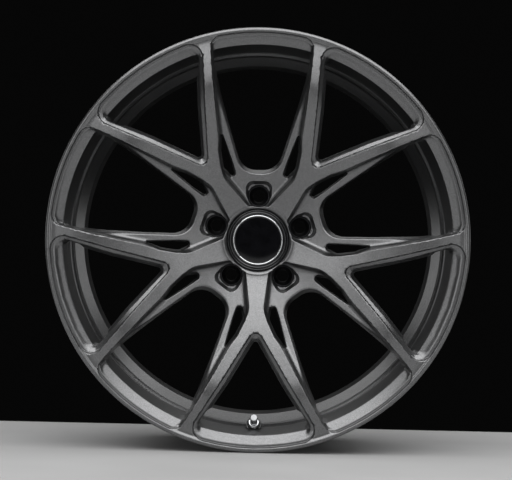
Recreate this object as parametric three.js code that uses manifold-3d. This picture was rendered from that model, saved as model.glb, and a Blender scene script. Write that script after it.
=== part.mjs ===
// Forged racing wheel rim, 20 x 9.5J, offset 35 mm, five lugs on a 114.3 mm circle. All sizes in mm.
// Drawn with the wheel's axis along z, the street side towards +z and one lug straight up (+y).
// The whole group is then turned, so that the axis lies along Y and the street side faces -Y.
import * as THREE from 'three';
import { mergeVertices } from 'three/addons/utils/BufferGeometryUtils.js';
import Module from 'manifold-3d';

const wasm = await Module();
wasm.setup();

// ---- driving dimensions -------------------------------------------------------------------
const RIM_WIDTH = 267;            // from the spokes' crown, just proud of the lip, to the rear flange
const LIP_DEPTH = 4.5;            // the lip's crest sits this far behind the crown
const FLANGE_R = 271.5;           // outside of the flanges
const BEAD_R = 254;               // bead seat of a 20 inch wheel
const MOUNT_DEPTH = 98.5;         // hub mounting face, behind the crown: 35 mm of offset
const LUGS = 5;
const LUG_CIRCLE_R = 114.3 / 2;
const CENTRE_BORE_R = 73.1 / 2;
const GAP = 0.3;                  // clearance between pieces that touch in the real wheel
const SIDES = 50;                 // facets round the barrel
const HUB_SIDES = 40;             // facets round the hub and its cap
const FINE = 18;                  // facets round a small turned piece
const PITCH = 2 * Math.PI / LUGS;

const zOf = (depth) => RIM_WIDTH / 2 - depth;   // depth is measured back from the crown

// ---- general shape helpers ----------------------------------------------------------------
function solidOf(geometry) {
  const bare = geometry.clone();
  bare.deleteAttribute('normal');
  bare.deleteAttribute('uv');
  const merged = mergeVertices(bare, 1e-4);
  const positions = Float32Array.from(merged.attributes.position.array);
  const source = merged.index.array;
  const triangles = [];
  let volume = 0;
  const corner = [new THREE.Vector3(), new THREE.Vector3(), new THREE.Vector3()];
  for (let i = 0; i < source.length; i += 3) {
    const [a, b, c] = [source[i], source[i + 1], source[i + 2]];
    if (a === b || b === c || c === a) continue;
    [a, b, c].forEach((index, k) => corner[k].fromArray(positions, 3 * index));
    volume += corner[0].dot(corner[1].clone().cross(corner[2]));
    triangles.push(a, b, c);
  }
  if (volume < 0) triangles.reverse();
  const mesh = new wasm.Mesh({
    numProp: 3, vertProperties: positions, triVerts: Uint32Array.from(triangles),
  });
  return new wasm.Manifold(mesh);
}

function geometryOf(solid) {
  const mesh = solid.getMesh();
  const geometry = new THREE.BufferGeometry();
  geometry.setAttribute('position', new THREE.BufferAttribute(mesh.vertProperties, 3));
  geometry.setIndex(new THREE.BufferAttribute(mesh.triVerts, 1));
  return geometry;
}

// A profile of [radius, z] points spun about the z axis; it starts and ends on the axis or closes.
function revolve(profile, sides) {
  const points = profile.map(([radius, z]) => new THREE.Vector2(radius, z));
  const onAxis = profile[0][0] === 0;
  if (!onAxis) points.push(points[0].clone());
  const half = Math.PI / sides;
  return solidOf(new THREE.LatheGeometry(points, sides, half).rotateX(Math.PI / 2));
}

function cylinder(radius, zLow, zHigh, sides = FINE) {
  return revolve([[0, zLow], [radius, zLow], [radius, zHigh], [0, zHigh]], sides);
}

function ring(inner, outer, zLow, zHigh, sides = FINE) {
  return revolve([[inner, zLow], [outer, zLow], [outer, zHigh], [inner, zHigh]], sides);
}

// A closed outline from corner points [x, y, radius]; a corner with a radius becomes an arc.
function rounded(corners, steps = 3) {
  const outline = [];
  corners.forEach(([x, y, radius = 0], i) => {
    const here = new THREE.Vector2(x, y);
    if (radius === 0) {
      outline.push(here);
      return;
    }
    const [bx, by] = corners[(i + corners.length - 1) % corners.length];
    const [ax, ay] = corners[(i + 1) % corners.length];
    const back = new THREE.Vector2(bx, by).sub(here).normalize();
    const ahead = new THREE.Vector2(ax, ay).sub(here).normalize();
    const halfAngle = Math.acos(back.dot(ahead)) / 2;
    const centre = back.clone().add(ahead).normalize().multiplyScalar(radius / Math.sin(halfAngle)).add(here);
    const reach = radius / Math.tan(halfAngle);
    const from = back.clone().multiplyScalar(reach).add(here).sub(centre);
    const turn = Math.sign(back.cross(ahead)) * (Math.PI - 2 * halfAngle);
    for (let step = 0; step <= steps; step += 1) {
      const spoke = from.clone().rotateAround(new THREE.Vector2(), -turn * step / steps);
      outline.push(spoke.add(centre));
    }
  });
  return outline;
}

// The right-hand half of a symmetric outline, from its top centre to its bottom centre.
function mirrored(half) {
  const left = half.filter(([x]) => x > 0).map(([x, y, radius = 0]) => [-x, y, radius]);
  return [...half, ...left.reverse()];
}

// An outline in the wheel's face, pushed straight through between two depths.
function prism(outline, depthFront, depthBack) {
  const shape = new THREE.Shape(outline);
  const geometry = new THREE.ExtrudeGeometry(shape, { depth: depthBack - depthFront, bevelEnabled: false });
  return solidOf(geometry.translate(0, 0, zOf(depthBack)));
}

// The solid repeated at every lug, starting from the given angle off the top lug.
function aroundLugs(solid, start = 0) {
  let all = solid.rotate([0, 0, -start * 180 / Math.PI]);
  for (let i = 1; i < LUGS; i += 1) {
    all = all.add(solid.rotate([0, 0, -(start + i * PITCH) * 180 / Math.PI]));
  }
  return all;
}

// ---- barrel -------------------------------------------------------------------------------
// Profiles are [radius, depth].
const BARREL_INSIDE = [
  [265, LIP_DEPTH + 2.2], [250.6, 17.5], [243.8, 63], [240.3, 67.2], [238.9, 76], [230, 95],
  [229, 99], [229, 163], [248.6, 214], [249, 250], [262, 263],
];
const BARREL_TYRE_SIDE = [
  [267, 267], [FLANGE_R, 264], [FLANGE_R, 258], [267, 254.3], [257, 252], [BEAD_R, 247],
  [BEAD_R + 2, 227], [BEAD_R - 1, 217], [234.5, 164], [234.5, 101], [245, 72], [251, 62],
  [252.6, 46], [BEAD_R + 2, 40], [BEAD_R, 23], [257, 19], [267, 16.5], [FLANGE_R, 13],
  [FLANGE_R, LIP_DEPTH + 3.5], [268, LIP_DEPTH],
];
const FACE_REACH_R = 270;         // the centre is drawn out to here, then trimmed to the barrel

// The valve's own frame: z along the valve, out of the wheel, from the seat of its nut.
const VALVE_SEAT_R = 239.5;
const VALVE_SEAT_DEPTH = 58;
const VALVE_TILT = THREE.MathUtils.degToRad(23);
const VALVE_HOLE_R = 5.9;
const VALVE_BOSS_LENGTH = 14.6;
const SPOT_FACE_R = 9.2;

function toValve(solid) {
  const tilted = solid.rotate([-THREE.MathUtils.radToDeg(VALVE_TILT), 0, 0]);
  return tilted.translate([0, -VALVE_SEAT_R, zOf(VALVE_SEAT_DEPTH)]);
}

function makeBarrel() {
  const profile = [...BARREL_INSIDE, ...BARREL_TYRE_SIDE].map(([radius, depth]) => [radius, zOf(depth)]);
  const boss = toValve(cylinder(10.5, -VALVE_BOSS_LENGTH, 0));
  const hole = toValve(cylinder(VALVE_HOLE_R, -40, 1));
  const nutSeat = toValve(cylinder(SPOT_FACE_R, 0, 40));
  const grommetSeat = toValve(cylinder(SPOT_FACE_R + 0.8, -40, -VALVE_BOSS_LENGTH));
  return revolve(profile, SIDES).add(boss).subtract(hole).subtract(nutSeat).subtract(grommetSeat);
}

// Everything outside the barrel's inner surface, less the clearance: it trims the centre's arms.
function barrelSpace() {
  const inner = BARREL_INSIDE.map(([radius, depth]) => [radius - GAP, zOf(depth)]);
  const outer = [[FACE_REACH_R + 5, zOf(263)], [FACE_REACH_R + 5, zOf(-5)], [265 - GAP, zOf(-5)]];
  return revolve([...inner, ...outer], SIDES);
}

// ---- forged centre ------------------------------------------------------------------------
// The street face dishes in to the hub at a steady slope, crowns at CROWN_R and falls back to the lip.
const CROWN_R = 207;
const FACE = [
  [0, 49.8], [46, 49.6], [172, 5.9], [190, 1.6], [CROWN_R, 0], [218, 0.6], [FACE_REACH_R, 7.6],
];
const BACK = [
  [FACE_REACH_R, 41], [CROWN_R, 36], [150, 46], [110, 58], [80, 90], [76, MOUNT_DEPTH], [0, MOUNT_DEPTH],
];
const WEB_FACE = [[0, 60], [62, 60], [CROWN_R, 17], [225, 17]];
const WEB_BACK = [[225, 36], [CROWN_R, 36], [150, 46], [110, 58], [80, 90], [76, 97], [0, 97]];
const BOSS_R = 44.7;
const CAP_SEAT_R = 40.2;
const CAP_SEAT_DEPTH = 52;
const CAP_SEAT_BEVEL = 3.2;       // width of the bevel from the cap's seat out to the boss's face
const THROUGH = [-10, 120];       // depths that pass right through the centre

const WIDE_WINDOW = mirrored([
  [0, 265.8], [34, 263.6], [66.6, 257.3, 14], [63.2, 213.8], [57.8, 164.7], [47.5, 80.2, 30],
  [10, 39.8], [0, 36],
]);
const NARROW_WINDOW = mirrored([
  [0, 265.8], [44.5, 262], [87.2, 251, 17], [43.2, 181.3], [0, 110.8, 9.6],
]);
const BRACE_WINDOW = mirrored([[0, 245], [73.4, 245], [23.5, 87.8, 15], [0, 87.8]]);
const BRACE_SLOT = [
  [48.6, 137, 1.2], [34.5, 98], [30.4, 85, 3], [36.2, 79.8, 3.5], [46.6, 92.5, 4], [50, 115],
];
const LUG_POCKET = mirrored([[0, 76.2], [17.8, 76.2, 10], [17, 58], [13.5, 48.5], [0, 43.5]]);
const LUG_POCKET_DEPTH = 68;
const SEAT_HOLE_R = 14.3;
const SEAT_FLOOR_DEPTH = 92;
const STUD_HOLE_R = 8;
const PAD_POCKET = mirrored([[0, 68], [13, 66, 5], [8, 47, 4], [0, 47]]);
const PAD_POCKET_DEPTH = 76;

const disc = (front, back) => revolve([...front, ...back].map(([r, depth]) => [r, zOf(depth)]), HUB_SIDES);

function makeCentre() {
  const through = (corners, steps) => prism(rounded(corners, steps), ...THROUGH);
  const narrow = aroundLugs(through(NARROW_WINDOW), PITCH / 2);
  const spokes = disc(FACE, BACK).subtract(aroundLugs(through(WIDE_WINDOW))).subtract(narrow);
  const slot = through(BRACE_SLOT, 2);
  const openings = aroundLugs(through(BRACE_WINDOW).add(slot).add(slot.mirror([1, 0, 0])));
  const web = disc(WEB_FACE, WEB_BACK).subtract(openings).subtract(narrow);
  const boss = revolve([
    [0, zOf(MOUNT_DEPTH)], [BOSS_R, zOf(MOUNT_DEPTH)], [BOSS_R, zOf(51)],
    [BOSS_R - 1, zOf(49.8)], [0, zOf(49.8)],
  ], HUB_SIDES);
  const pocket = prism(rounded(LUG_POCKET), THROUGH[0], LUG_POCKET_DEPTH);
  const lugUp = [0, LUG_CIRCLE_R, 0];
  const seatHole = cylinder(SEAT_HOLE_R, zOf(SEAT_FLOOR_DEPTH), zOf(40)).translate(lugUp);
  const studHole = cylinder(STUD_HOLE_R, zOf(THROUGH[1]), zOf(40)).translate(lugUp);
  const padPocket = prism(rounded(PAD_POCKET), PAD_POCKET_DEPTH, THROUGH[1]);
  const bore = cylinder(CENTRE_BORE_R, zOf(THROUGH[1]), zOf(0), HUB_SIDES);
  const capSeat = revolve([
    [0, zOf(CAP_SEAT_DEPTH)], [CAP_SEAT_R, zOf(CAP_SEAT_DEPTH)], [CAP_SEAT_R, zOf(CAP_SEAT_DEPTH - 0.5)],
    [CAP_SEAT_R + CAP_SEAT_BEVEL, zOf(49)], [CAP_SEAT_R + CAP_SEAT_BEVEL, zOf(0)], [0, zOf(0)],
  ], HUB_SIDES);
  return spokes.add(web).add(boss).subtract(barrelSpace())
    .subtract(aroundLugs(pocket.add(seatHole).add(studHole)))
    .subtract(aroundLugs(padPocket, PITCH / 2))
    .subtract(bore).subtract(capSeat);
}

// Pressed-in steel seat for one lug nut: a 60 degree cone that narrows to the stud's hole.
function makeLugSeat() {
  const top = 72;
  const outer = SEAT_HOLE_R - GAP;
  const hole = STUD_HOLE_R - 0.3;
  const coneR = 12.6;
  const coneDepth = top + (coneR - hole) / Math.tan(Math.PI / 6);
  const profile = [
    [hole, SEAT_FLOOR_DEPTH - GAP], [outer, SEAT_FLOOR_DEPTH - GAP], [outer, top + 0.6],
    [outer - 0.6, top], [coneR, top], [hole, coneDepth],
  ];
  return revolve(profile.map(([r, depth]) => [r, zOf(depth)]), FINE);
}

// ---- centre cap and hub ring --------------------------------------------------------------
const CAP_FRONT = 48.3;
const CAP_R = CAP_SEAT_R - 0.5;
const CAP_SKIRT_R = 35.3;
const CAP_SKIRT_END = 66;
const BEZEL_OUTER_R = 32.6;
const BEZEL_INNER_R = 30.5;
const CAP_FLOOR = 50.6;           // floor of the recess that holds the bezel and the disc
const WIRE_R = 0.8;
const WIRE_LOOP_R = 35.3;
const WIRE_DEPTH = 61;

function makeCapBody() {
  const profile = [
    [0, CAP_FLOOR], [BEZEL_OUTER_R + GAP, CAP_FLOOR], [BEZEL_OUTER_R + GAP, CAP_FRONT + 1],
    [33.8, CAP_FRONT + 1.5], [35.6, CAP_FRONT], [37.3, CAP_FRONT + 1.2], [38.3, CAP_FRONT + 0.3],
    [CAP_R, CAP_FRONT + 1.9],
    [CAP_R, CAP_SEAT_DEPTH - GAP], [CAP_SKIRT_R, CAP_SEAT_DEPTH - GAP],
    [CAP_SKIRT_R, WIRE_DEPTH - 1.3], [CAP_SKIRT_R - 1.3, WIRE_DEPTH - 1.3],
    [CAP_SKIRT_R - 1.3, WIRE_DEPTH + 1.3], [CAP_SKIRT_R, WIRE_DEPTH + 1.3],
    [CAP_SKIRT_R - 0.8, CAP_SKIRT_END], [32.2, CAP_SKIRT_END], [32.2, 53.4], [0, 53.4],
  ];
  let body = revolve(profile.map(([r, depth]) => [r, zOf(depth)]), HUB_SIDES);
  const fingerGap = prism(rounded([[-3, 30], [3, 30], [3, 38], [-3, 38]]), 54.5, CAP_SKIRT_END + 2);
  for (let i = 0; i < 5; i += 1) body = body.subtract(fingerGap.rotate([0, 0, 72 * i]));
  return body;
}

function makeCapDisc() {
  const rim = BEZEL_INNER_R - GAP;
  const profile = [
    [0, CAP_FLOOR - GAP], [rim, CAP_FLOOR - GAP], [rim, 49.6], [rim - 0.6, 49.2], [0, 48.8],
  ];
  return revolve(profile.map(([r, depth]) => [r, zOf(depth)]), HUB_SIDES);
}

function makeBezel() {
  const profile = [
    [BEZEL_INNER_R, CAP_FLOOR - GAP], [BEZEL_OUTER_R, CAP_FLOOR - GAP], [BEZEL_OUTER_R, 48.2],
    [BEZEL_OUTER_R - 0.7, 47.5], [BEZEL_INNER_R + 0.6, 47.8], [BEZEL_INNER_R, 48.6],
  ];
  return revolve(profile.map(([r, depth]) => [r, zOf(depth)]), HUB_SIDES);
}

// The spring wire round the cap's fingers, open at the bottom.
function makeCapWire() {
  const path = new THREE.EllipseCurve(
    0, 0, WIRE_LOOP_R, WIRE_LOOP_R, -Math.PI / 2 + 0.12, 1.5 * Math.PI - 0.12);
  const line = path.getPoints(28).map((point) => new THREE.Vector3(point.x, point.y, zOf(WIRE_DEPTH)));
  const section = new THREE.Shape().absarc(0, 0, WIRE_R, 0, 2 * Math.PI);
  return solidOf(new THREE.ExtrudeGeometry(section, {
    curveSegments: 3, steps: 28, bevelEnabled: false, extrudePath: new THREE.CatmullRomCurve3(line),
  }));
}

// Hub-centric ring: fills the wheel's bore down to the car's hub spigot.
function makeHubRing() {
  const outer = CENTRE_BORE_R - GAP;
  const inner = 32.05;
  const back = MOUNT_DEPTH - 0.5;
  const profile = [
    [inner, back - 10], [outer - 0.6, back - 10], [outer, back - 9.4], [outer, back],
    [inner + 1.2, back], [inner, back - 1.2],
  ];
  return revolve(profile.map(([r, depth]) => [r, zOf(depth)]), HUB_SIDES);
}

// ---- valve, drawn along its own axis from the seat of its nut ------------------------------
const STEM_R = 4.1;
const STEM_END = 20.5;
const CORE_BORE_R = 2.7;
const CORE_BORE_FLOOR = 5;
const CAP_OPEN_END = 14.6;
const CAP_CLOSED_END = 27;
const HEAD_FRONT = -VALVE_BOSS_LENGTH - 4.7;

function makeStem() {
  return revolve([
    [1.5, HEAD_FRONT - 3.4], [8, HEAD_FRONT - 3.4], [8.6, HEAD_FRONT - 2.8], [8.6, HEAD_FRONT],
    [STEM_R, HEAD_FRONT], [STEM_R, STEM_END - 0.6], [STEM_R - 0.6, STEM_END],
    [CORE_BORE_R, STEM_END], [CORE_BORE_R, CORE_BORE_FLOOR], [1.5, CORE_BORE_FLOOR - 1.2],
  ], FINE);
}

function makeGrommet() {
  const seat = -VALVE_BOSS_LENGTH - GAP;
  return revolve([
    [STEM_R + GAP, HEAD_FRONT + GAP], [8.6, HEAD_FRONT + GAP], [9.2, HEAD_FRONT + 1.4], [9.2, seat - 0.4],
    [8.8, seat], [VALVE_HOLE_R - GAP, seat], [VALVE_HOLE_R - GAP, -1], [STEM_R + GAP, -1],
  ], FINE);
}

const makeWasher = () => ring(STEM_R + GAP, 8.5, GAP, 1.8);

function makeNut() {
  const body = revolve([
    [STEM_R + GAP, 2.1], [7.4, 2.1], [8, 2.7], [8, 6.4], [6.6, 9], [STEM_R + GAP + 0.4, 9],
    [STEM_R + GAP, 8.6],
  ], FINE);
  const flat = prism(rounded([[6.9, -9], [12, -9], [12, 9], [6.9, 9]]), zOf(20), zOf(3.4));
  return body.subtract(flat).subtract(flat.rotate([0, 0, 180]));
}

function makeCoreBody() {
  return revolve([
    [1.7, 8], [CORE_BORE_R - GAP, 8], [CORE_BORE_R - GAP, 19.4], [1.05, 19.4], [1.05, 18], [1.7, 18],
  ], 16);
}

function makeCorePin() {
  return revolve([
    [0, 5.6], [1.3, 5.6], [1.3, 7.4], [0.6, 8], [0.6, 19.9], [0.3, 20.1], [0, 20.1],
  ], 12);
}

function makeCoreSpring() {
  const steps = 4 * 8;            // four turns of eight straight steps
  const [low, high] = [8.8, 17.4];
  const line = [];
  for (let i = 0; i <= steps; i += 1) {
    const turn = i / 8 * 2 * Math.PI;
    line.push(new THREE.Vector3(
      1.15 * Math.cos(turn), 1.15 * Math.sin(turn), low + (high - low) * i / steps));
  }
  const section = new THREE.Shape().absarc(0, 0, 0.18, 0, 2 * Math.PI);
  return solidOf(new THREE.ExtrudeGeometry(section, {
    curveSegments: 2, steps, bevelEnabled: false, extrudePath: new THREE.CatmullRomCurve3(line),
  }));
}

function makeValveCap() {
  const outer = 4.9;
  const ceiling = 24.8;
  return revolve([
    [0, ceiling], [STEM_R + GAP, ceiling], [STEM_R + GAP, CAP_OPEN_END], [outer, CAP_OPEN_END],
    [outer, CAP_CLOSED_END - 0.8], [outer - 0.8, CAP_CLOSED_END], [0, CAP_CLOSED_END],
  ], FINE);
}

const makeCapSeal = () => ring(1.6, STEM_R, 22.6, 24.5, 16);

// ---- assembly -----------------------------------------------------------------------------
const FINISHES = {
  forging: { color: 0x43464a, metalness: 0.85, roughness: 0.42 },
  steel: { color: 0x8c8f93, metalness: 1, roughness: 0.35 },
  chrome: { color: 0xdadcdf, metalness: 1, roughness: 0.12 },
  brass: { color: 0xb08d4a, metalness: 1, roughness: 0.35 },
  rubber: { color: 0x161616, metalness: 0, roughness: 0.8 },
  blackPlastic: { color: 0x08080a, metalness: 0, roughness: 0.25 },
  greyPlastic: { color: 0x3a3c3f, metalness: 0, roughness: 0.5 },
  capGrey: { color: 0xa7aaad, metalness: 0.3, roughness: 0.45 },
};

function piece(name, solid, finish) {
  const mesh = new THREE.Mesh(geometryOf(solid), new THREE.MeshStandardMaterial(FINISHES[finish]));
  mesh.name = name;
  return mesh;
}

const wheel = new THREE.Group();
wheel.add(piece('rim_barrel', makeBarrel(), 'forging'));
wheel.add(piece('forged_centre', makeCentre(), 'forging'));
for (let i = 0; i < LUGS; i += 1) {
  const seat = piece(`lug_seat_${i + 1}`, makeLugSeat(), 'steel');
  seat.position.set(LUG_CIRCLE_R * Math.sin(i * PITCH), LUG_CIRCLE_R * Math.cos(i * PITCH), 0);
  wheel.add(seat);
}
wheel.add(piece('centre_cap_body', makeCapBody(), 'greyPlastic'));
wheel.add(piece('centre_cap_disc', makeCapDisc(), 'blackPlastic'));
wheel.add(piece('centre_cap_bezel', makeBezel(), 'chrome'));
wheel.add(piece('centre_cap_wire', makeCapWire(), 'steel'));
wheel.add(piece('hub_ring', makeHubRing(), 'greyPlastic'));

const valve = new THREE.Group();
valve.position.set(0, -VALVE_SEAT_R, zOf(VALVE_SEAT_DEPTH));
valve.rotation.x = -VALVE_TILT;
valve.add(piece('valve_stem', makeStem(), 'chrome'));
valve.add(piece('valve_grommet', makeGrommet(), 'rubber'));
valve.add(piece('valve_washer', makeWasher(), 'steel'));
valve.add(piece('valve_nut', makeNut(), 'chrome'));
valve.add(piece('valve_core_body', makeCoreBody(), 'brass'));
valve.add(piece('valve_core_pin', makeCorePin(), 'brass'));
valve.add(piece('valve_core_spring', makeCoreSpring(), 'steel'));
valve.add(piece('valve_cap', makeValveCap(), 'capGrey'));
valve.add(piece('valve_cap_seal', makeCapSeal(), 'rubber'));
wheel.add(valve);

wheel.rotation.x = Math.PI / 2;
const part = new THREE.Group();
part.add(wheel);
export default part;
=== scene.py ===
"""Looks of the forged racing wheel rim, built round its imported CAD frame.

The spoked centre and the lip are one smooth surface, found from a distance function of the forging.
The barrel, the centre cap, the valve and the lug seats are turned profiles. Shapes are worked out in
millimetres: radius from the wheel's axis, and depth back from the spokes' crown.
"""
import math

import bmesh
import bpy
import numpy as np
from mathutils import Matrix, Vector


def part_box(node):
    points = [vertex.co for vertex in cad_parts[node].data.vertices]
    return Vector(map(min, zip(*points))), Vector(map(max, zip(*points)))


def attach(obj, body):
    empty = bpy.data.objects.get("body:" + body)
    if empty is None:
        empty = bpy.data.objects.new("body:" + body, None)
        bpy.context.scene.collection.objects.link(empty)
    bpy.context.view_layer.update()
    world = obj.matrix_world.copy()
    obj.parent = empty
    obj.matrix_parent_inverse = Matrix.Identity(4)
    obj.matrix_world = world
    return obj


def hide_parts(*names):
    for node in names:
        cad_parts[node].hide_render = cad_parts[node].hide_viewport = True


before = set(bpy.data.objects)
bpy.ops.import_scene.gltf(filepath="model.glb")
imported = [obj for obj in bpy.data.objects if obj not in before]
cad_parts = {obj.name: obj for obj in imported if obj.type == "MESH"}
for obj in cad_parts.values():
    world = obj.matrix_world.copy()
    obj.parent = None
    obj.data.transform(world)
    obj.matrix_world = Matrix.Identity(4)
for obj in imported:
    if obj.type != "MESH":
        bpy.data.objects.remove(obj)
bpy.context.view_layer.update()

MM = 0.001
CROWN_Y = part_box("forged_centre")[0].y          # the foremost plane of the wheel
LUGS = 5
HALF_SECTOR = math.pi / LUGS                    # the shape repeats, mirrored, every 36 degrees
STREET_SIDE, REAR_SIDE = 0, 1                   # corners of a box with the least and the greatest y


def depth_of(y):
    return (y - CROWN_Y) / MM


def depth_at(node, side):
    return depth_of(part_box(node)[side].y)


def turned_radius(node, facets):
    """True radius of a turned CAD node, whose facets cut a little inside it."""
    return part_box(node)[1].x / MM / math.cos(math.pi / facets)


# ---- sizes read from the frame --------------------------------------------------------------
FLANGE_R = turned_radius("rim_barrel", 50)
REAR_DEPTH = depth_at("rim_barrel", REAR_SIDE)
LIP_DEPTH = depth_at("rim_barrel", STREET_SIDE)
LIP_TUBE_R = 3.5                                # the lip's edge is round, with this radius
MOUNT_DEPTH = depth_at("forged_centre", REAR_SIDE)
LUG_CIRCLE_R = sum(corner.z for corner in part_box("lug_seat_1")) / 2 / MM
CAP_FRONT = depth_at("centre_cap_body", STREET_SIDE)
CAP_R = turned_radius("centre_cap_body", 40)
CAP_GAP = 0.5                                   # play between the cap and its seat
CAP_SEAT_DEPTH = CAP_FRONT + 3.7
BORE_R = turned_radius("hub_ring", 40) + 0.3
BOSS_R = 44.7
BOSS_DEPTH = CAP_FRONT + 1.3


# ---- distance helpers -----------------------------------------------------------------------
def join(a, b, radius):
    """Union of two distances, with a fillet."""
    u = np.maximum(radius - a, 0)
    v = np.maximum(radius - b, 0)
    return np.maximum(radius, np.minimum(a, b)) - np.hypot(u, v)


def keep(a, b, radius):
    """Intersection of two distances, with a rounded edge."""
    u = np.maximum(radius + a, 0)
    v = np.maximum(radius + b, 0)
    return np.minimum(-radius, np.maximum(a, b)) + np.hypot(u, v)


def cut(a, b, radius):
    """a with b taken away, and the new edge rounded."""
    return keep(a, -b, radius)


def outline_distance(x, y, outline):
    """Signed distance to a closed outline, negative inside it."""
    nearest = np.full(x.shape, 1e9)
    inside = np.zeros(x.shape, bool)
    for (ax, ay), (bx, by) in zip(outline, np.roll(outline, -1, axis=0)):
        ex, ey = bx - ax, by - ay
        along = np.clip(((x - ax) * ex + (y - ay) * ey) / (ex * ex + ey * ey + 1e-12), 0, 1)
        nearest = np.minimum(nearest, (x - ax - along * ex) ** 2 + (y - ay - along * ey) ** 2)
        if ay != by:
            crosses = (ay > y) != (by > y)
            inside ^= crosses & (x < ax + (y - ay) / (by - ay) * ex)
    return np.where(inside, -1, 1) * np.sqrt(nearest)


def rounded(corners, steps=8):
    """Corner points (x, y, radius) as a closed outline, with an arc for each radius."""
    outline = []
    for i, (x, y, radius) in enumerate(corners):
        here = Vector((x, y))
        if radius == 0:
            outline.append(here)
            continue
        back = (Vector(corners[i - 1][:2]) - here).normalized()
        ahead = (Vector(corners[(i + 1) % len(corners)][:2]) - here).normalized()
        half = back.angle(ahead) / 2
        centre = here + (back + ahead).normalized() * radius / math.sin(half)
        start = here + back * radius / math.tan(half) - centre
        side = 1 if back.x * ahead.y - back.y * ahead.x > 0 else -1
        turn = -side * (math.pi - 2 * half)
        for step in range(steps + 1):
            outline.append(centre + Matrix.Rotation(turn * step / steps, 2) @ start)
    return np.array([tuple(point) for point in outline])


def mirrored(half):
    """A symmetric outline from its right half, given from its top centre to its bottom centre."""
    return half + [(-x, y, radius) for x, y, radius in reversed(half) if x > 0]


def blurred(points, width):
    """A lookup of a [radius, value] line with its corners softened over a width."""
    radius = np.arange(0, 320, 0.5)
    value = np.interp(radius, *zip(*points))
    reach = int(3 * width / 0.5)
    weight = np.exp(-0.5 * (np.arange(-reach, reach + 1) * 0.5 / width) ** 2)
    padded = np.pad(value, reach, mode="edge")
    soft = np.convolve(padded, weight / weight.sum(), mode="valid")
    return lambda r: np.interp(r, radius, soft)


# ---- the forging ----------------------------------------------------------------------------
# Outlines as (x, y, corner radius), with y outwards along a lug's radius. The narrow window, its throat
# and the pad's pocket lie on the arm between two lugs instead, with y outwards along that arm.
WIDE_WINDOW = rounded(mirrored([
    (0, 265.8, 0), (17, 265.3, 0), (34, 263.6, 0), (51, 260.9, 0), (66.6, 257.3, 14),
    (63.2, 213.8, 0), (57.8, 164.7, 0), (47.5, 80.2, 30), (10, 39.8, 0), (0, 36, 0)]))
NARROW_WINDOW = rounded(mirrored([
    (0, 265.8, 0), (22, 264.9, 0), (44.5, 262, 0), (66, 257.5, 0), (87.2, 251, 17),
    (43.2, 181.3, 0), (0, 110.8, 9.6)]))
NARROW_THROAT = rounded(mirrored([
    (0, 262, 0), (44, 258.5, 0), (81, 249.4, 14), (38.1, 184.5, 0), (0, 119.8, 8)]))
BRACE_WINDOW = rounded(mirrored([(0, 245, 0), (73.4, 245, 0), (23.3, 86.4, 25), (0, 86.4, 0)]))
BRACE_SLOT = rounded([
    (50.8, 141.5, 1.5), (34.5, 98, 0), (30.4, 85, 4), (36.2, 79.6, 4), (47.6, 92.5, 6), (51.5, 115, 0)])
LUG_POCKET = rounded(mirrored([
    (0, 76.2, 0), (17.6, 76.2, 10.5), (17, 57, 6), (10, 45.5, 6), (0, 44, 0)]))
PAD_POCKET = rounded(mirrored([(0, 68, 0), (13, 66, 5), (8, 47, 4), (0, 47, 0)]))

# Depths of the forging's faces, and the draft of the wide windows' walls, against radius
face_depth = blurred([(0, BOSS_DEPTH), (46, BOSS_DEPTH), (80, 35.8), (110, 24.9), (140, 15.4),
                      (172, 6.4), (190, 2.1), (207, 0), (218, 0.5), (235, 2.3), (262, 6.6),
                      (300, 11)], 5)
back_depth = blurred([(0, MOUNT_DEPTH), (76, MOUNT_DEPTH), (81, 90), (110, 58), (150, 46),
                      (207, 36), (300, 42)], 2)
web_depth = blurred([(0, 61), (58, 61), (66, 59.5), (207, 17.5), (300, 17.5)], 4)
wall_draft = blurred([(60, 0.2), (133, 0.16), (186, 0.1), (240, 0.08)], 10)

WALL_TOP = (250.6, 17.5)                        # (radius, depth) where the barrel's inside begins
WALL_END = (243.8, 63)                          # and where the turned barrel takes over
RIM_SECTION = rounded([
    (266.2, 8.6, 0), (*WALL_TOP, 2.0), (*WALL_END, 0), (242, 80, 0), (300, 80, 0), (300, 8.6, 0)])

# Drafts: how far a wall moves sideways for each mm of depth
NARROW_DRAFT = 0.12
THROAT_DRAFT = 0.04
BRACE_DRAFT = 0.22
SLOT_DRAFT = 0.1
POCKET_DRAFT = 0.26

LEDGE_DEPTH = 4.6                               # of the ledge in a narrow window, below the face
LEDGE_SLOPE = 0.75
WEB_REACH_R = 225                               # the braces end before this radius
WEB_INTO_THROAT = 2                             # how far they reach into a narrow window's throat
FILLET_R = 6                                    # from arm to brace, and from centre to rim

MOUTH_DEPTH = 10.2                              # floor of the step inside the lip
MOUTH_R = 246                                   # further in than this the floor rises
MOUTH_RISE = 0.6                                # for each mm of radius

POCKET_WALL_DEPTH = 58                          # the lug pocket's wall leans inwards below this
POCKET_FLOOR_DEPTH = 70
SEAT_HOLE_R = 14.3
SEAT_FLOOR_DEPTH = 92
STUD_HOLE_R = 8
PAD_POCKET_DEPTH = 76
SEAT_BEVEL_SLOPE = 0.69


def slope_scale(slope):
    """Scale from a depth below a slope to the distance square to it, to two places."""
    return round(1 / math.hypot(1, slope), 2)


def along_arm(x, y):
    """A point's place across and along the arm between two lugs."""
    across = x * math.cos(HALF_SECTOR) - y * math.sin(HALF_SECTOR)
    along = x * math.sin(HALF_SECTOR) + y * math.cos(HALF_SECTOR)
    return across, along


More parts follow.
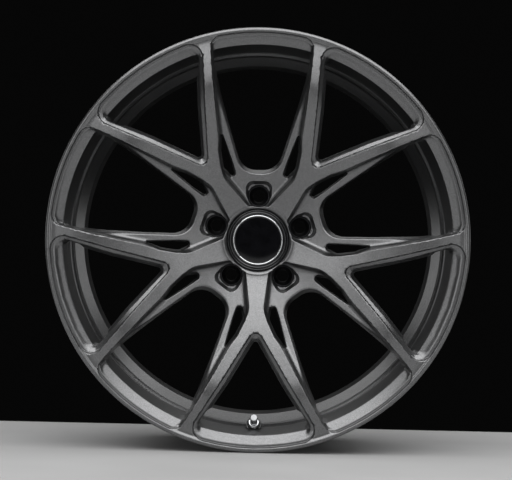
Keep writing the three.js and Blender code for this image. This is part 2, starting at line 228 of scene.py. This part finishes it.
def arms(below, wide, narrow, narrow_edge, throat, back):
    """The arms between the windows, with the ledge that runs round each narrow window."""
    ledge = (below - LEDGE_DEPTH + LEDGE_SLOPE * narrow_edge) * slope_scale(LEDGE_SLOPE)
    solid = keep(-below, -wide, 0.9)
    solid = cut(solid, keep(narrow, ledge, 0.3), 0.6)
    solid = cut(solid, throat, 0.9)
    return keep(solid, back, 2.5)


def braces(x, y, radius, below_web, throat, back):
    """The sunk web of lug pads and braces."""
    window = outline_distance(x, y, BRACE_WINDOW) + BRACE_DRAFT * below_web
    solid = keep(-below_web, -window, 2.4)
    solid = keep(solid, -(throat + WEB_INTO_THROAT), 2)
    return keep(solid, keep(back, radius - WEB_REACH_R, 1), 2.5)


def boss_round_cap(radius, depth):
    """The raised ring round the centre cap, solid down to the pad."""
    solid = keep(radius - BOSS_R, BOSS_DEPTH - depth, 1)
    return keep(solid, depth - MOUNT_DEPTH, 1.5)


def with_lip_and_rim(centre, window, radius, depth):
    """The centre joined to the lip and the start of the barrel, with the step inside the lip."""
    lip = np.hypot(radius - (FLANGE_R - LIP_TUBE_R), depth - LIP_DEPTH - LIP_TUBE_R) - LIP_TUBE_R
    rim = outline_distance(radius, depth, RIM_SECTION)
    solid = join(join(centre, lip, 1.5), rim, FILLET_R)
    mouth_floor = MOUTH_DEPTH - MOUTH_RISE * np.maximum(MOUTH_R - radius, 0)
    return cut(solid, keep(window, depth - mouth_floor, 0.3), 0.5)


def with_lug_holes(solid, x, y, depth):
    """Cuts the D-shaped pocket, the nut seat's hole and the stud's hole of one lug."""
    from_lug = np.hypot(x, y - LUG_CIRCLE_R)
    pocket = outline_distance(x, y, LUG_POCKET) + POCKET_DRAFT * np.maximum(depth - POCKET_WALL_DEPTH, 0)
    solid = cut(solid, keep(pocket, depth - POCKET_FLOOR_DEPTH, 1.6), 0.7)
    solid = cut(solid, keep(from_lug - SEAT_HOLE_R, depth - SEAT_FLOOR_DEPTH, 0.5), 0.9)
    return cut(solid, from_lug - STUD_HOLE_R, 0.4)


def with_bore_and_cap_seat(solid, radius, depth):
    """Cuts the centre bore, the cap's seat and the bevel round it."""
    seat_r = CAP_R + CAP_GAP
    solid = cut(solid, radius - BORE_R, 0.5)
    solid = cut(solid, keep(radius - seat_r, depth - CAP_SEAT_DEPTH, 0.3), 0.4)
    bevel = depth - CAP_SEAT_DEPTH + 0.4 + SEAT_BEVEL_SLOPE * (radius - seat_r)
    return cut(solid, bevel * slope_scale(SEAT_BEVEL_SLOPE), 0.6)


def forging_distance(x, y, depth):
    """Distance to the forged centre and the lip, for points with 0 <= angle off a lug <= 36 degrees."""
    radius = np.hypot(x, y)
    across, along = along_arm(x, y)
    below = depth - face_depth(radius)
    below_web = depth - web_depth(radius)
    back = depth - back_depth(radius)
    wide = outline_distance(x, y, WIDE_WINDOW) + wall_draft(radius) * below
    narrow_edge = outline_distance(across, along, NARROW_WINDOW)
    narrow = narrow_edge + NARROW_DRAFT * below
    throat = outline_distance(across, along, NARROW_THROAT) + THROAT_DRAFT * below
    slot = outline_distance(x, y, BRACE_SLOT) + SLOT_DRAFT * below_web

    centre = join(arms(below, wide, narrow, narrow_edge, throat, back),
                  braces(x, y, radius, below_web, throat, back), FILLET_R)
    centre = cut(centre, slot, 1.5)
    centre = join(centre, boss_round_cap(radius, depth), 2.2)
    solid = with_lip_and_rim(centre, np.minimum(wide, narrow), radius, depth)
    solid = with_lug_holes(solid, x, y, depth)
    pad_pocket = outline_distance(across, along, PAD_POCKET)
    solid = cut(solid, keep(pad_pocket, PAD_POCKET_DEPTH - depth, 2.5), 1)
    return with_bore_and_cap_seat(solid, radius, depth)


ALL_BUT_LAST = slice(None, -1)
ALL_BUT_FIRST = slice(1, None)
INNER = slice(1, -1)


def other_axes(axis):
    return [i for i in range(3) if i != axis]


def crossing_vertices(field):
    """For each cell that the surface crosses, the mean of the crossings on its edges: (mask, places)."""
    sign = field < 0
    cells = tuple(size - 1 for size in field.shape)
    total = np.zeros(cells + (3,))
    count = np.zeros(cells)
    corner = (ALL_BUT_LAST, ALL_BUT_FIRST)
    for axis in range(3):
        side, other_side = other_axes(axis)
        for p, q in ((0, 0), (0, 1), (1, 0), (1, 1)):
            near = [None] * 3
            near[side], near[other_side] = corner[p], corner[q]
            far = list(near)
            near[axis], far[axis] = corner
            a, b = field[tuple(near)], field[tuple(far)]
            crossed = sign[tuple(near)] != sign[tuple(far)]
            count += crossed
            total[..., axis] += np.where(crossed, a / np.where(crossed, a - b, 1), 0)
            total[..., side] += crossed * p
            total[..., other_side] += crossed * q
    active = count > 0
    return active, np.argwhere(active) + total[active] / count[active][:, None]


def quads_round_edges(sign, index, axis):
    """A quad for each crossed grid edge along an axis, through the vertices of its four cells."""
    near = [INNER] * 3
    far = [INNER] * 3
    near[axis], far[axis] = ALL_BUT_LAST, ALL_BUT_FIRST
    starts_inside = sign[tuple(near)]
    ends_inside = sign[tuple(far)]
    side, other_side = other_axes(axis)
    quads = []
    for crossed, flip in ((starts_inside & ~ends_inside, axis == 1),
                          (~starts_inside & ends_inside, axis != 1)):
        ring = []
        for p, q in ((0, 0), (1, 0), (1, 1), (0, 1)):
            cell = np.argwhere(crossed)
            cell[:, side] += p
            cell[:, other_side] += q
            ring.append(index[tuple(cell.T)])
        ring = np.stack(ring, 1)
        quads.append(ring[:, ::-1] if flip else ring)
    return quads


def surface_nets(field):
    """The surface where a field on a grid is zero: (vertices in grid units, quads)."""
    active, places = crossing_vertices(field)
    index = np.full(active.shape, -1)
    index[active] = np.arange(active.sum())
    quads = [ring for axis in range(3) for ring in quads_round_edges(field < 0, index, axis)]
    return places, np.concatenate(quads)


GRID_MARGIN = 4                                 # of the grid beyond the forging
LIP_SEAM = 2.4                                  # the forging's surface ends this far inside the flange
SETTLING_STEPS = 4                              # moves of each vertex onto the true surface
LEAST_STEEPNESS = 0.2                           # squared; keeps a move finite where the field is flat


def gradient(points, step=0.05):
    """Outward direction of the forging's surface at points in a half sector."""
    slopes = []
    for axis in range(3):
        shift = np.zeros(3)
        shift[axis] = step
        ahead = forging_distance(*(points + shift).T)
        behind = forging_distance(*(points - shift).T)
        slopes.append((ahead - behind) / (2 * step))
    return np.stack(slopes, 1)


def forging_half_sector(cell):
    """Vertices [x, y, depth], normals and quads of one half sector, up to its two mirror planes."""
    steps = round(HALF_SECTOR * FLANGE_R / cell)
    radii = np.arange(BORE_R - GRID_MARGIN, FLANGE_R - LIP_SEAM, cell)
    depths = np.arange(-GRID_MARGIN, MOUNT_DEPTH + GRID_MARGIN, cell)
    angles = (np.arange(-1, steps + 1) + 0.5) * HALF_SECTOR / steps
    folded = HALF_SECTOR - np.abs(HALF_SECTOR - np.abs(angles))
    r, a, d = np.meshgrid(radii, folded, depths, indexing="ij")
    field = forging_distance(r * np.sin(a), r * np.cos(a), d)
    places, quads = surface_nets(field)
    r, a, d = (np.interp(places[:, axis], np.arange(len(ticks)), ticks)
               for axis, ticks in enumerate((radii, angles, depths)))
    points = np.stack([r * np.sin(a), r * np.cos(a), d], 1)
    on_lug_plane = places[:, 1] < 1
    on_far_plane = places[:, 1] > len(angles) - 2
    for _ in range(SETTLING_STEPS):
        slope = gradient(points)
        steepness = np.sum(slope ** 2, 1)
        move = forging_distance(*points.T) / np.maximum(steepness, LEAST_STEEPNESS)
        points -= slope * np.clip(move, -cell / 2, cell / 2)[:, None]
        points = onto_planes(points, on_lug_plane, on_far_plane)
    normals = gradient(points)
    normals /= np.linalg.norm(normals, axis=1)[:, None] + 1e-9
    return points, normals, quads


def onto_planes(points, on_lug_plane, on_far_plane):
    """Keeps the vertices of the two mirror planes on them."""
    points[on_lug_plane, 0] = 0
    radius = np.hypot(points[on_far_plane, 0], points[on_far_plane, 1])
    points[on_far_plane, 0] = radius * math.sin(HALF_SECTOR)
    points[on_far_plane, 1] = radius * math.cos(HALF_SECTOR)
    return points


WELD_DISTANCE = 2e-7


def whole_forging(points, normals, quads):
    """The half sector mirrored and turned round all the lugs, welded, in metres in the shared frame."""
    all_points, all_normals, all_quads = [], [], []
    for lug in range(LUGS):
        for side in (1, -1):
            turn = lug * 2 * HALF_SECTOR
            rotate = np.array([[math.cos(turn), math.sin(turn)], [-math.sin(turn), math.cos(turn)]])
            start = sum(len(p) for p in all_points)
            for source, target in ((points, all_points), (normals, all_normals)):
                flat = source[:, :2] * [side, 1] @ rotate.T
                target.append(np.stack([flat[:, 0], source[:, 2], flat[:, 1]], 1))
            all_quads.append((quads if side > 0 else quads[:, ::-1]) + start)
    points = np.concatenate(all_points) * MM + [0, CROWN_Y, 0]
    keys = np.round(points / WELD_DISTANCE).astype(np.int64)
    _, first, inverse = np.unique(keys, axis=0, return_index=True, return_inverse=True)
    normals = np.concatenate(all_normals)
    quads = np.concatenate(all_quads)
    return points[first], normals[first], inverse.ravel()[quads]


def new_object(name, points, faces, normals=None):
    mesh = bpy.data.meshes.new(name)
    mesh.from_pydata(np.asarray(points).tolist(), [], np.asarray(faces).tolist())
    mesh.validate()
    mesh.shade_smooth()
    if normals is not None:
        mesh.normals_split_custom_set_from_vertices(np.asarray(normals).tolist())
    made = bpy.data.objects.new(name, mesh)
    bpy.context.scene.collection.objects.link(made)
    return made


def part_of(points, normals, quads, chosen):
    """Only the chosen quads, with the vertices they use."""
    quads = quads[chosen]
    used, inverse = np.unique(quads, return_inverse=True)
    return points[used], inverse.reshape(quads.shape), normals[used]


HUB_PIECE_R = 105                               # where the hub's piece ends and the spokes' begins
RIM_INNER_R = 236                               # outside this, the forging ends at the barrel's wall
BARREL_OVERLAP = 3                              # of the two pieces at the barrel's wall


def make_forging(cell):
    """The hub and the spokes with the lip, as two pieces of one surface."""
    points, normals, quads = whole_forging(*forging_half_sector(cell))
    middle = points[quads].mean(axis=1)
    radius = np.hypot(middle[:, 0], middle[:, 2]) / MM
    depth = depth_of(middle[:, 1])
    wanted = (radius <= RIM_INNER_R) | (depth <= WALL_END[1] - BARREL_OVERLAP)
    in_hub = radius <= HUB_PIECE_R
    hub = new_object("hub", *part_of(points, normals, quads, wanted & in_hub))
    spokes = new_object("spokes", *part_of(points, normals, quads, wanted & ~in_hub))
    return hub, spokes


# ---- turned pieces --------------------------------------------------------------------------
EDGE_SHARE = 0.45                               # of an edge, that the rounding at one end may take
NEARLY_STRAIGHT = 3.1                           # radians between a corner's edges
SHARP_ANGLE = math.radians(50)                  # between faces that are not shaded as one


def softened(profile, closed=False, radius=0.4, steps=3):
    """Profile points with every corner rounded. A point may carry its own radius as a third number."""
    corners = [(p[0], p[1], p[2] if len(p) > 2 else radius) for p in profile]
    if not closed:
        corners[0] = (*corners[0][:2], 0)
        corners[-1] = (*corners[-1][:2], 0)
    limited = []
    for i, (x, y, r) in enumerate(corners):
        before, after = Vector(corners[i - 1][:2]), Vector(corners[(i + 1) % len(corners)][:2])
        here = Vector((x, y))
        back, ahead = before - here, after - here
        if r == 0 or back.length < 1e-6 or ahead.length < 1e-6 or back.angle(ahead) > NEARLY_STRAIGHT:
            limited.append((x, y, 0))
            continue
        room = EDGE_SHARE * min(back.length, ahead.length) * math.tan(back.angle(ahead) / 2)
        limited.append((x, y, min(r, room)))
    return [tuple(p) for p in rounded(limited, steps)]


def turned(name, profile, place, closed=False, sides=96, ribs=None):
    """A profile of (radius, along) points spun about its own z axis, then put in place.

    ribs = (count, height, low, high) leaves grip ribs on the widest part between two heights.
    """
    angles = np.arange(sides) * 2 * math.pi / sides
    widest = max(radius for radius, along in profile)
    points = []
    for radius, along in profile:
        ring = np.full(sides, radius)
        if ribs:
            count, height, low, high = ribs
            if low <= along <= high and radius > 0.9 * widest:
                ring = radius + (height * np.abs(np.cos(angles * count / 2)) - height)
        heights = np.full(sides, along)
        points.append(np.stack([ring * np.cos(angles), ring * np.sin(angles), heights], 1))
    points = np.concatenate(points) * MM
    faces = []
    rows = len(profile)
    for row in range(rows if closed else rows - 1):
        after = (row + 1) % rows
        for side in range(sides):
            beside = (side + 1) % sides
            faces.append([row * sides + side, row * sides + beside,
                          after * sides + beside, after * sides + side])
    made = new_object(name, points, faces)
    weld_and_face_out(made)
    made.data.transform(place)
    made.data.set_sharp_from_angle(angle=SHARP_ANGLE)
    return made


def weld_and_face_out(made):
    work = bmesh.new()
    work.from_mesh(made.data)
    bmesh.ops.remove_doubles(work, verts=work.verts, dist=1e-7)
    bmesh.ops.recalc_face_normals(work, faces=work.faces)
    work.to_mesh(made.data)
    work.free()


# z of a turned piece on the wheel's axis runs forward, out of the street side
ON_AXIS = Matrix.Translation((0, CROWN_Y, 0)) @ Matrix.Rotation(math.pi / 2, 4, "X")


def wheel_profile(points):
    """(radius, depth) points as (radius, along) points of a piece on the wheel's axis."""
    return [(p[0], -p[1], *p[2:]) for p in points]


UNDERLAP = 0.02                                 # of the barrel's lip behind the forging's own


def make_barrel():
    """The rest of the rim: round the lip, over the tyre side and back up the inside."""
    lip_r = FLANGE_R - LIP_TUBE_R
    lip_centre_depth = LIP_DEPTH + LIP_TUBE_R
    lip = [(lip_r + LIP_TUBE_R * math.sin(a), lip_centre_depth - LIP_TUBE_R * math.cos(a) + UNDERLAP)
           for a in np.linspace(-0.3, math.pi / 2, 12)]
    tyre_side = [
        (FLANGE_R, 13, 2), (267, 16.5, 2), (257, 19, 3), (254, 23, 3), (255.6, 40, 2), (252.6, 46, 3),
        (251, 62, 4), (245, 72, 6), (234.5, 101, 8), (234.5, 164, 8), (253, 217, 4), (256, 227, 2),
        (254, 247, 3), (257, 252, 3), (267, 254.3, 2), (FLANGE_R, 258, 2),
        (FLANGE_R, REAR_DEPTH - 3, 2.6), (267, REAR_DEPTH, 2)]
    inside = [
        (262, 263, 2), (249, 250, 8), (248.6, 214, 6), (229, 163, 10), (229, 98, 3), (238.9, 76, 0.8),
        (240.3, 67.2, 0.8), (242.9, 64.6, 0.8), (WALL_END[0] + 0.05, WALL_END[1], 0.4),
        (WALL_END[0] + 0.6, WALL_END[1] - 5, 0)]
    profile = softened(wheel_profile(lip + tyre_side + inside), radius=0, steps=4)
    return turned("barrel", profile, ON_AXIS, sides=360)


# ---- small pieces on the wheel's axis, and the nut seats: (radius, depth) profiles ----------
CAP_BODY = [
    (0, 50.6), (33.1, 50.6), (33.2, 52.4), (34.5, 52.4), (34.7, 48.9, 0.3), (35.7, CAP_FRONT, 0.7),
    (36.7, 49.2, 0.3), (36.9, 51.2, 0.2), (37.8, 51.2, 0.2), (37.9, 49.2, 0.3), (38.6, 48.6, 0.6),
    (CAP_R, 50.6, 1), (CAP_R, 51.7), (35.3, 51.7), (35.3, 59.7), (34, 59.7), (34, 62.3),
    (35.3, 62.3), (34.5, 66), (32.2, 66), (32.2, 53.4), (0, 53.4)]
CAP_DISC = [(0, 50.3), (30.2, 50.3), (30.2, 49.6), (29.4, 49.2, 0.6), (20, 49, 6), (0, 48.8)]
BEZEL = [(30.5, 50.3), (32.4, 50.3), (32.4, 47.7, 0.9), (30.5, 47.7, 0.9)]
HUB_RING = [
    (32.05, 88), (35.6, 88), (BORE_R - 0.3, 88.6), (BORE_R - 0.3, 98), (33.25, 98), (32.05, 96.8)]
LUG_SEAT = [(7.7, 91.7), (14, 91.7), (14, 72.6), (13.4, 72), (12.6, 72), (7.7, 80.5)]


def on_wheel(name, profile):
    """A turned piece on the wheel's axis. A profile that starts off the axis is a ring, and closed."""
    closed = profile[0][0] > 0
    return turned(name, softened(wheel_profile(profile), closed), ON_AXIS, closed, sides=144)


def make_nut_seat(number):
    turn = (number - 1) * 2 * HALF_SECTOR
    offset = LUG_CIRCLE_R * MM
    place = Matrix.Translation((offset * math.sin(turn), 0, offset * math.cos(turn))) @ ON_AXIS
    profile = softened(wheel_profile(LUG_SEAT), True)
    return turned(f"nut_seat_{number}", profile, place, closed=True, sides=64)


# ---- valve: (radius, along) profiles, along the valve from the seat of its nut --------------
VALVE_SEAT_R = 239.5
VALVE_SEAT_DEPTH = 58
VALVE_TILT = math.radians(23)                   # from the wheel's axis, towards it
HEAD_FRONT = -19.3                              # where the stem's head begins
ON_VALVE = (Matrix.Translation((0, CROWN_Y + VALVE_SEAT_DEPTH * MM, -VALVE_SEAT_R * MM))
            @ Matrix.Rotation(math.pi / 2 - VALVE_TILT, 4, "X"))


def on_valve(name, profile, sides=64, ribs=None):
    """A turned piece on the valve's axis. A profile that starts off the axis is a ring, and closed."""
    closed = profile[0][0] > 0
    return turned(name, softened(profile, closed, 0.25), ON_VALVE, closed, sides, ribs)


def threaded(low, high, crest, root, pitch=0.8):
    """Crests and roots of a thread, as rings from the high end to the low one."""
    turns = int((high - low) / pitch)
    line = []
    for turn in range(turns):
        top = high - turn * pitch
        line += [(crest, top, 0), (root, top - pitch / 2, 0)]
    return line


STEM = [(1.5, HEAD_FRONT - 3.4), (2.7, 5), (2.7, 20.5), (3.5, 20.5), *threaded(0, 19.8, 4.1, 3.8),
        (4.1, -1), (4.1, HEAD_FRONT), (8.6, HEAD_FRONT), (8.6, HEAD_FRONT - 3.4)]
GROMMET = [
    (4.4, -19), (8.6, -19), (9.2, -17.9), (9.2, -15.3), (8.8, -14.9), (5.6, -14.9), (5.6, -1), (4.4, -1)]
WASHER = [(4.4, 0.3), (8.9, 0.3), (8.9, 1.8), (4.4, 1.8)]
NUT = [(4.4, 2.1), (7.4, 2.1), (8, 2.7), (8, 6, 1.5), (6.4, 9, 1), (4.9, 9), (4.4, 8.6)]
CORE_BODY = [(1.7, 8), (2.4, 8), (2.4, 19.4), (1.05, 19.4), (1.05, 18), (1.7, 18)]
CORE_PIN = [(0, 5.6), (1.3, 5.6), (1.3, 7.4), (0.6, 8), (0.6, 19.9), (0.3, 20.1), (0, 20.1)]
CAP_SEAL = [(1.6, 22.6), (4.1, 22.6), (4.1, 24.5), (1.6, 24.5)]
DUST_CAP = [
    (0, 24.8), (4.4, 24.8), (4.4, 14.6), (4.9, 14.6), (4.9, 15.4, 0), (4.9, 15.8, 0), (4.9, 24.6, 0),
    (4.9, 25, 0), (4.9, 26.4, 0.8), (4, 27, 0.6), (0, 27)]
DUST_CAP_RIBS = (24, 0.3, 15.8, 24.7)
VALVE_BOSS = [(5.9, -12), (5.9, 0, 0.4), (9.4, 0, 0.6), (10.2, -2, 2), (10.5, -14)]


def make_valve_boss():
    """The painted seat that stands up from the barrel under the valve's nut, open at both ends."""
    return turned("valve_boss", softened(VALVE_BOSS), ON_VALVE, sides=96)


# ---- materials ------------------------------------------------------------------------------
def new_material(name):
    material = bpy.data.materials.new(name)
    material.use_nodes = True
    nodes = material.node_tree.nodes
    return material, nodes, material.node_tree.links, nodes["Principled BSDF"]


def noise(nodes, links, scale, detail=3.0, roughness=0.5):
    """A cloudy 0 to 1 pattern fixed to the object, with so many clouds to the metre."""
    coordinates = nodes.new("ShaderNodeTexCoord")
    made = nodes.new("ShaderNodeTexNoise")
    made.inputs["Scale"].default_value = scale
    made.inputs["Detail"].default_value = detail
    made.inputs["Roughness"].default_value = roughness
    links.new(coordinates.outputs["Object"], made.inputs["Vector"])
    return made.outputs["Fac"]


def spread(nodes, links, fac, low, high):
    """A 0 to 1 pattern stretched between two values."""
    made = nodes.new("ShaderNodeMapRange")
    made.inputs["From Min"].default_value = 0.3
    made.inputs["From Max"].default_value = 0.7
    made.inputs["To Min"].default_value = low
    made.inputs["To Max"].default_value = high
    links.new(fac, made.inputs["Value"])
    return made.outputs["Result"]


def two_tone(nodes, links, fac, dark, light):
    """A 0 to 1 pattern as a blend of two colours."""
    made = nodes.new("ShaderNodeValToRGB")
    made.color_ramp.elements[0].position = 0.35
    made.color_ramp.elements[1].position = 0.65
    made.color_ramp.elements[0].color = (*dark, 1)
    made.color_ramp.elements[1].color = (*light, 1)
    links.new(fac, made.inputs["Fac"])
    return made.outputs["Color"]


def bump(nodes, links, shader, height, strength, distance, after=None):
    """Raises the surface by a pattern, on top of an earlier bump if one is given."""
    made = nodes.new("ShaderNodeBump")
    made.inputs["Strength"].default_value = strength
    made.inputs["Distance"].default_value = distance
    links.new(height, made.inputs["Height"])
    if after:
        links.new(after, made.inputs["Normal"])
    links.new(made.outputs["Normal"], shader.inputs["Normal"])
    return made.outputs["Normal"]


def gunmetal_paint():
    """Satin metallic paint: fine flake in colour and roughness, a faint orange peel."""
    material, nodes, links, shader = new_material("satin_gunmetal")
    flake = noise(nodes, links, 950, 4, 0.7)
    cloud = noise(nodes, links, 14, 3)
    peel = noise(nodes, links, 420, 1)
    colour = two_tone(nodes, links, flake, (0.13, 0.131, 0.134), (0.27, 0.271, 0.274))
    links.new(colour, shader.inputs["Base Color"])
    links.new(spread(nodes, links, cloud, 0.28, 0.34), shader.inputs["Roughness"])
    shader.inputs["Metallic"].default_value = 0.95
    shader.inputs["Coat Weight"].default_value = 0.1
    shader.inputs["Coat Roughness"].default_value = 0.3
    grain = bump(nodes, links, shader, flake, 0.09, 0.0002)
    bump(nodes, links, shader, peel, 0.04, 0.0004, grain)
    return material


def plain_metal(name, dark, light, low, high, scale=600):
    """Bare or plated metal, between two colours and two roughnesses."""
    material, nodes, links, shader = new_material(name)
    fleck = noise(nodes, links, scale, 3)
    wide = noise(nodes, links, scale / 12, 2)
    links.new(two_tone(nodes, links, wide, dark, light), shader.inputs["Base Color"])
    links.new(spread(nodes, links, fleck, low, high), shader.inputs["Roughness"])
    shader.inputs["Metallic"].default_value = 1
    bump(nodes, links, shader, fleck, 0.06, 0.0001)
    return material


def plain_plastic(name, dark, light, low, high, grain=0.1):
    """Plastic or rubber, between two colours and two roughnesses."""
    material, nodes, links, shader = new_material(name)
    fleck = noise(nodes, links, 1500, 3)
    wide = noise(nodes, links, 60, 2)
    links.new(two_tone(nodes, links, wide, dark, light), shader.inputs["Base Color"])
    links.new(spread(nodes, links, fleck, low, high), shader.inputs["Roughness"])
    bump(nodes, links, shader, fleck, grain, 0.0001)
    return material


PAINT = gunmetal_paint()
STEEL = plain_metal("turned_steel", (0.3, 0.31, 0.33), (0.42, 0.43, 0.45), 0.28, 0.42)
CHROME = plain_metal("bright_plate", (0.78, 0.79, 0.81), (0.88, 0.89, 0.9), 0.05, 0.14)
BRASS = plain_metal("turned_brass", (0.6, 0.44, 0.18), (0.74, 0.56, 0.26), 0.25, 0.4)
ANODISED = plain_metal("satin_anodised", (0.3, 0.305, 0.315), (0.4, 0.405, 0.415), 0.3, 0.42)
DARK_RING = plain_metal("dark_ring", (0.07, 0.071, 0.073), (0.1, 0.101, 0.103), 0.16, 0.24)
GLOSS_BLACK = plain_plastic("gloss_black", (0.003, 0.003, 0.0035), (0.005, 0.005, 0.006), 0.06, 0.1,
                            grain=0.005)
MOULDED = plain_plastic("moulded_black", (0.02, 0.02, 0.022), (0.032, 0.032, 0.034), 0.5, 0.65)
# Steel coloured near black, used for the nut seats.
NEAR_BLACK_STEEL = plain_metal("near_black_steel", (0.03, 0.03, 0.032), (0.05, 0.05, 0.053), 0.35, 0.5)
RUBBER = plain_plastic("valve_rubber", (0.012, 0.012, 0.012), (0.02, 0.02, 0.02), 0.65, 0.8, grain=0.2)


def dress(piece, material, body, *nodes):
    """Gives a new piece its material and its body, and hides the CAD nodes it stands for."""
    piece.data.materials.clear()
    piece.data.materials.append(material)
    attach(piece, body)
    if nodes:
        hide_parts(*nodes)


def make_wheel():
    hub, spokes = make_forging(FULL_CELL)
    dress(hub, PAINT, "wheel", "forged_centre")
    dress(spokes, PAINT, "wheel", "forged_centre")
    dress(make_barrel(), PAINT, "wheel", "rim_barrel")
    for number in range(1, LUGS + 1):
        dress(make_nut_seat(number), NEAR_BLACK_STEEL, "wheel", f"lug_seat_{number}")
    dress(make_valve_boss(), PAINT, "wheel", "rim_barrel")


def make_centre_cap():
    dress(on_wheel("cap_body", CAP_BODY), DARK_RING, "centre_cap", "centre_cap_body")
    dress(on_wheel("cap_disc", CAP_DISC), GLOSS_BLACK, "centre_cap", "centre_cap_disc")
    dress(on_wheel("cap_bezel", BEZEL), CHROME, "centre_cap", "centre_cap_bezel")


def make_valve():
    dress(on_valve("valve_tube", STEM), CHROME, "wheel", "valve_stem")
    dress(on_valve("grommet", GROMMET), RUBBER, "wheel", "valve_grommet")
    dress(on_valve("washer", WASHER), RUBBER, "wheel", "valve_washer")
    dress(on_valve("nut", NUT), CHROME, "wheel", "valve_nut")
    dress(on_valve("core_body", CORE_BODY), BRASS, "wheel", "valve_core_body")
    dress(on_valve("core_pin", CORE_PIN), BRASS, "core_pin", "valve_core_pin")
    dress(on_valve("cap_seal", CAP_SEAL), RUBBER, "cap_seal", "valve_cap_seal")
    dust_cap = on_valve("dust_cap", DUST_CAP, sides=144, ribs=DUST_CAP_RIBS)
    dress(dust_cap, ANODISED, "valve_cap", "valve_cap")


def colour_kept_nodes():
    """The wires are good as they come from the CAD, and only need their steel."""
    for node in ("centre_cap_wire", "valve_core_spring"):
        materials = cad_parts[node].data.materials
        materials.clear()
        materials.append(STEEL)


# ---- assembly -------------------------------------------------------------------------------
QUICK_CELL, FULL_CELL = 3.0, 2.0                # grid cell of the forging's surface
make_wheel()
make_centre_cap()
dress(on_wheel("centring_ring", HUB_RING), MOULDED, "hub_ring", "hub_ring")
make_valve()
colour_kept_nodes()


# ---- stage, light and camera ----------------------------------------------------------------
FLOOR_GAP = 0.0005                              # between the wheel and the floor, in metres


def make_floor():
    material, nodes, links, shader = new_material("pale_floor")
    colour = two_tone(nodes, links, noise(nodes, links, 3, 2), (0.40, 0.40, 0.40), (0.44, 0.44, 0.44))
    links.new(colour, shader.inputs["Base Color"])
    shader.inputs["Roughness"].default_value = 0.8
    corners = [(-3, -4, 0), (3, -4, 0), (3, 0.3, 0), (-3, 0.3, 0)]
    floor = new_object("floor", corners, [(0, 1, 2, 3)])
    floor.location.z = -FLANGE_R * MM - FLOOR_GAP
    floor.data.materials.append(material)


def soft_panel(name, place, facing, size, radiance):
    """A rectangular soft light that shines along a direction."""
    light = bpy.data.lights.new(name, "AREA")
    light.shape = "RECTANGLE"
    light.size, light.size_y = size
    light.energy = radiance * math.pi * size[0] * size[1]
    made = bpy.data.objects.new(name, light)
    made.location = place
    made.rotation_euler = Vector(facing).to_track_quat("-Z", "Y").to_euler()
    bpy.context.scene.collection.objects.link(made)


PANELS = [  # name, place, direction it shines, (width, height), radiance
    ("overhead", (0.1, -1.3, 1.5), (0, 0, -1), (2.9, 3.2), 2.5),
    ("above_camera", (-0.1, -3.4, 1.15), (0, 1, 0), (2.4, 0.9), 1.5),
    ("behind_above", (0, 1.6, 1.3), (0, -0.4, -1), (3.0, 0.8), 1.1),
    ("front_left", (-1.7, -2.4, 0.55), (1, 0, 0), (1.6, 1.5), 1.8),
    ("front_right", (1.7, -2.4, 0.55), (-1, 0, 0), (1.6, 1.5), 1.5),
    ("rear_left", (-1.9, 1.5, 0.4), (1, -0.5, 0), (1.2, 1.2), 0.7),
    ("rear_right", (1.9, 1.5, 0.4), (-1, -0.5, 0), (1.2, 1.2), 0.7),
]


def make_dark_room():
    world = bpy.data.worlds.new("studio")
    world.use_nodes = True
    background = world.node_tree.nodes["Background"]
    background.inputs["Color"].default_value = (0.002, 0.002, 0.002, 1)
    background.inputs["Strength"].default_value = 1
    bpy.context.scene.world = world


CAMERA_DISTANCE = 3.0                            # from the lip, in metres
CAMERA_ROLL = math.radians(-1.3)


def make_camera():
    data = bpy.data.cameras.new("camera")
    data.sensor_width = 36
    data.lens = 165.1
    data.shift_x = -0.0037
    data.clip_end = 50
    camera = bpy.data.objects.new("camera", data)
    camera.location = (0, CROWN_Y + LIP_DEPTH * MM - CAMERA_DISTANCE, 0)
    camera.rotation_euler = (math.pi / 2, CAMERA_ROLL, 0)
    bpy.context.scene.collection.objects.link(camera)
    bpy.context.scene.camera = camera


make_floor()
for panel in PANELS:
    soft_panel(*panel)
make_dark_room()
make_camera()
bpy.context.scene.view_settings.view_transform = "Standard"
